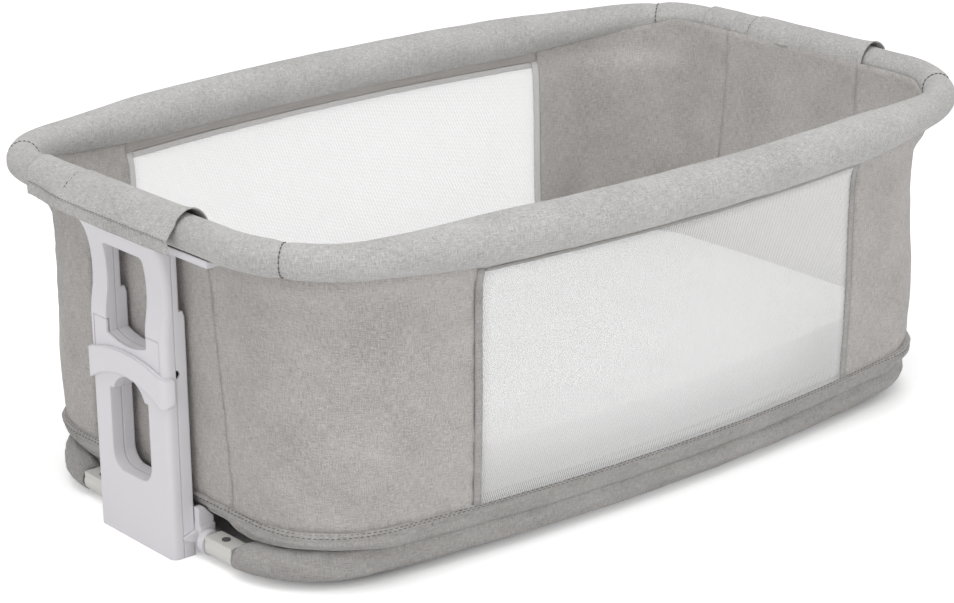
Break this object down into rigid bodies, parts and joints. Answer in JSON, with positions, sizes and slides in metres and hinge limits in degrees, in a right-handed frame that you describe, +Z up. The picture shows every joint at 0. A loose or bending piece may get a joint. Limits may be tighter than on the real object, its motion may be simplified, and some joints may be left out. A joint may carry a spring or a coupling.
{
  "type": "bassinet basket with stand uprights",
  "caption": "Grey melange bedside bassinet basket with padded rail, mesh windows, zipped hem, base ring and white end uprights that latch onto a stand.",
  "frame": {"origin": "middle of the footprint, on the floor", "axes": "+X along the basket to the right end, +Y across it to the far side, +Z up"},
  "size_m": [0.9412, 0.6144, 0.3466],
  "materials": {
    "cloth": "woven melange",
    "cloth_dark": "woven melange",
    "mesh": "open knitted mesh",
    "white_plastic": "fine moulded texture",
    "cream_plastic": "smooth moulded",
    "grey_plastic": "smooth moulded",
    "steel": "plain drawn",
    "tube": "grey powder coat"
  },
  "bodies": {
    "frame": {"rail_tube_near": "tube", "rail_tube_far": "tube", "rail_pad_near": "cloth", "rail_pad_far": "cloth", "rail_pad_left": "cloth", "rail_pad_right": "cloth", "rail_flap_left": "cloth", "rail_bracket_left": "white_plastic", "rail_flap_right": "cloth", "rail_bracket_right": "white_plastic", "rail_screws": "steel", "outer_shell_left": "white_plastic", "inner_shell_left": "white_plastic", "release_springs_left": "steel", "post_sockets_left": "steel", "foot_bracket_left": "white_plastic", "connector_left_near": "cream_plastic", "connector_left_far": "cream_plastic", "outer_shell_right": "white_plastic", "inner_shell_right": "white_plastic", "release_springs_right": "steel", "post_sockets_right": "steel", "foot_bracket_right": "white_plastic", "connector_right_near": "cream_plastic", "connector_right_far": "cream_plastic", "shell_screws": "steel", "base_tube_near": "tube", "base_sleeve_near": "cloth_dark", "wall_near_left": "cloth", "wall_near_right": "cloth", "mesh_window_near": "mesh", "window_tape_near": "cloth_dark", "zip_tape_near": "cloth_dark", "window_header_near": "cloth", "base_tube_far": "tube", "base_sleeve_far": "cloth_dark", "wall_far_left": "cloth", "wall_far_right": "cloth", "mesh_window_far": "mesh", "window_tape_far": "cloth_dark", "zip_tape_far": "cloth_dark", "window_header_far": "cloth", "wall_end_left": "cloth", "wall_end_right": "cloth", "hem_band": "cloth_dark", "floor_panel": "cloth_dark"},
    "release_slider_left": {"release_slider_left": "white_plastic"},
    "latch_bolt_left_near": {"latch_bolt_left_near": "steel"},
    "snap_button_left_near": {"snap_button_left_near": "grey_plastic"},
    "latch_bolt_left_far": {"latch_bolt_left_far": "steel"},
    "snap_button_left_far": {"snap_button_left_far": "grey_plastic"},
    "release_slider_right": {"release_slider_right": "white_plastic"},
    "latch_bolt_right_near": {"latch_bolt_right_near": "steel"},
    "snap_button_right_near": {"snap_button_right_near": "grey_plastic"},
    "latch_bolt_right_far": {"latch_bolt_right_far": "steel"},
    "snap_button_right_far": {"snap_button_right_far": "grey_plastic"},
    "mattress": {"mattress": "mesh"},
    "zip_slider": {"zip_slider": "steel"}
  },
  "joints": [
    {"name": "release_slider_left_down", "type": "slide", "parent": "frame", "child": "release_slider_left", "axis": [0, 0, -1], "range_m": [0, 0.008], "stiffness_N_per_m": 300, "springref_m": -0.004, "deforming": ["release_springs_left"]},
    {"name": "latch_bolt_left_near_in", "type": "slide", "parent": "frame", "child": "latch_bolt_left_near", "axis": [0, 1, 0], "range_m": [0, 0.008]},
    {"name": "snap_button_left_near_press", "type": "slide", "parent": "frame", "child": "snap_button_left_near", "axis": [0, 0, -1], "range_m": [0, 0.0025], "stiffness_N_per_m": 300, "springref_m": -0.001},
    {"name": "latch_bolt_left_far_in", "type": "slide", "parent": "frame", "child": "latch_bolt_left_far", "axis": [0, -1, 0], "range_m": [0, 0.008]},
    {"name": "snap_button_left_far_press", "type": "slide", "parent": "frame", "child": "snap_button_left_far", "axis": [0, 0, -1], "range_m": [0, 0.0025], "stiffness_N_per_m": 300, "springref_m": -0.001},
    {"name": "release_slider_right_down", "type": "slide", "parent": "frame", "child": "release_slider_right", "axis": [0, 0, -1], "range_m": [0, 0.008], "stiffness_N_per_m": 300, "springref_m": -0.004, "deforming": ["release_springs_right"]},
    {"name": "latch_bolt_right_near_in", "type": "slide", "parent": "frame", "child": "latch_bolt_right_near", "axis": [0, 1, 0], "range_m": [0, 0.008]},
    {"name": "snap_button_right_near_press", "type": "slide", "parent": "frame", "child": "snap_button_right_near", "axis": [0, 0, -1], "range_m": [0, 0.0025], "stiffness_N_per_m": 300, "springref_m": -0.001},
    {"name": "latch_bolt_right_far_in", "type": "slide", "parent": "frame", "child": "latch_bolt_right_far", "axis": [0, -1, 0], "range_m": [0, 0.008]},
    {"name": "snap_button_right_far_press", "type": "slide", "parent": "frame", "child": "snap_button_right_far", "axis": [0, 0, -1], "range_m": [0, 0.0025], "stiffness_N_per_m": 300, "springref_m": -0.001},
    {"name": "mattress_lift", "type": "slide", "parent": "frame", "child": "mattress", "axis": [0, 0, 1], "range_m": [0, 0.25]},
    {"name": "zip_slider_run", "type": "hinge", "parent": "frame", "child": "zip_slider", "pos_m": [0, -1.73649, 0.05], "axis": [0, 0, -1], "range_deg": [0, 15]}
  ],
  "couplings": [
    {"joint": "latch_bolt_left_near_in", "follows": "release_slider_left_down", "ratio": 1},
    {"joint": "latch_bolt_left_far_in", "follows": "release_slider_left_down", "ratio": 1},
    {"joint": "latch_bolt_right_near_in", "follows": "release_slider_right_down", "ratio": 1},
    {"joint": "latch_bolt_right_far_in", "follows": "release_slider_right_down", "ratio": 1}
  ]
}
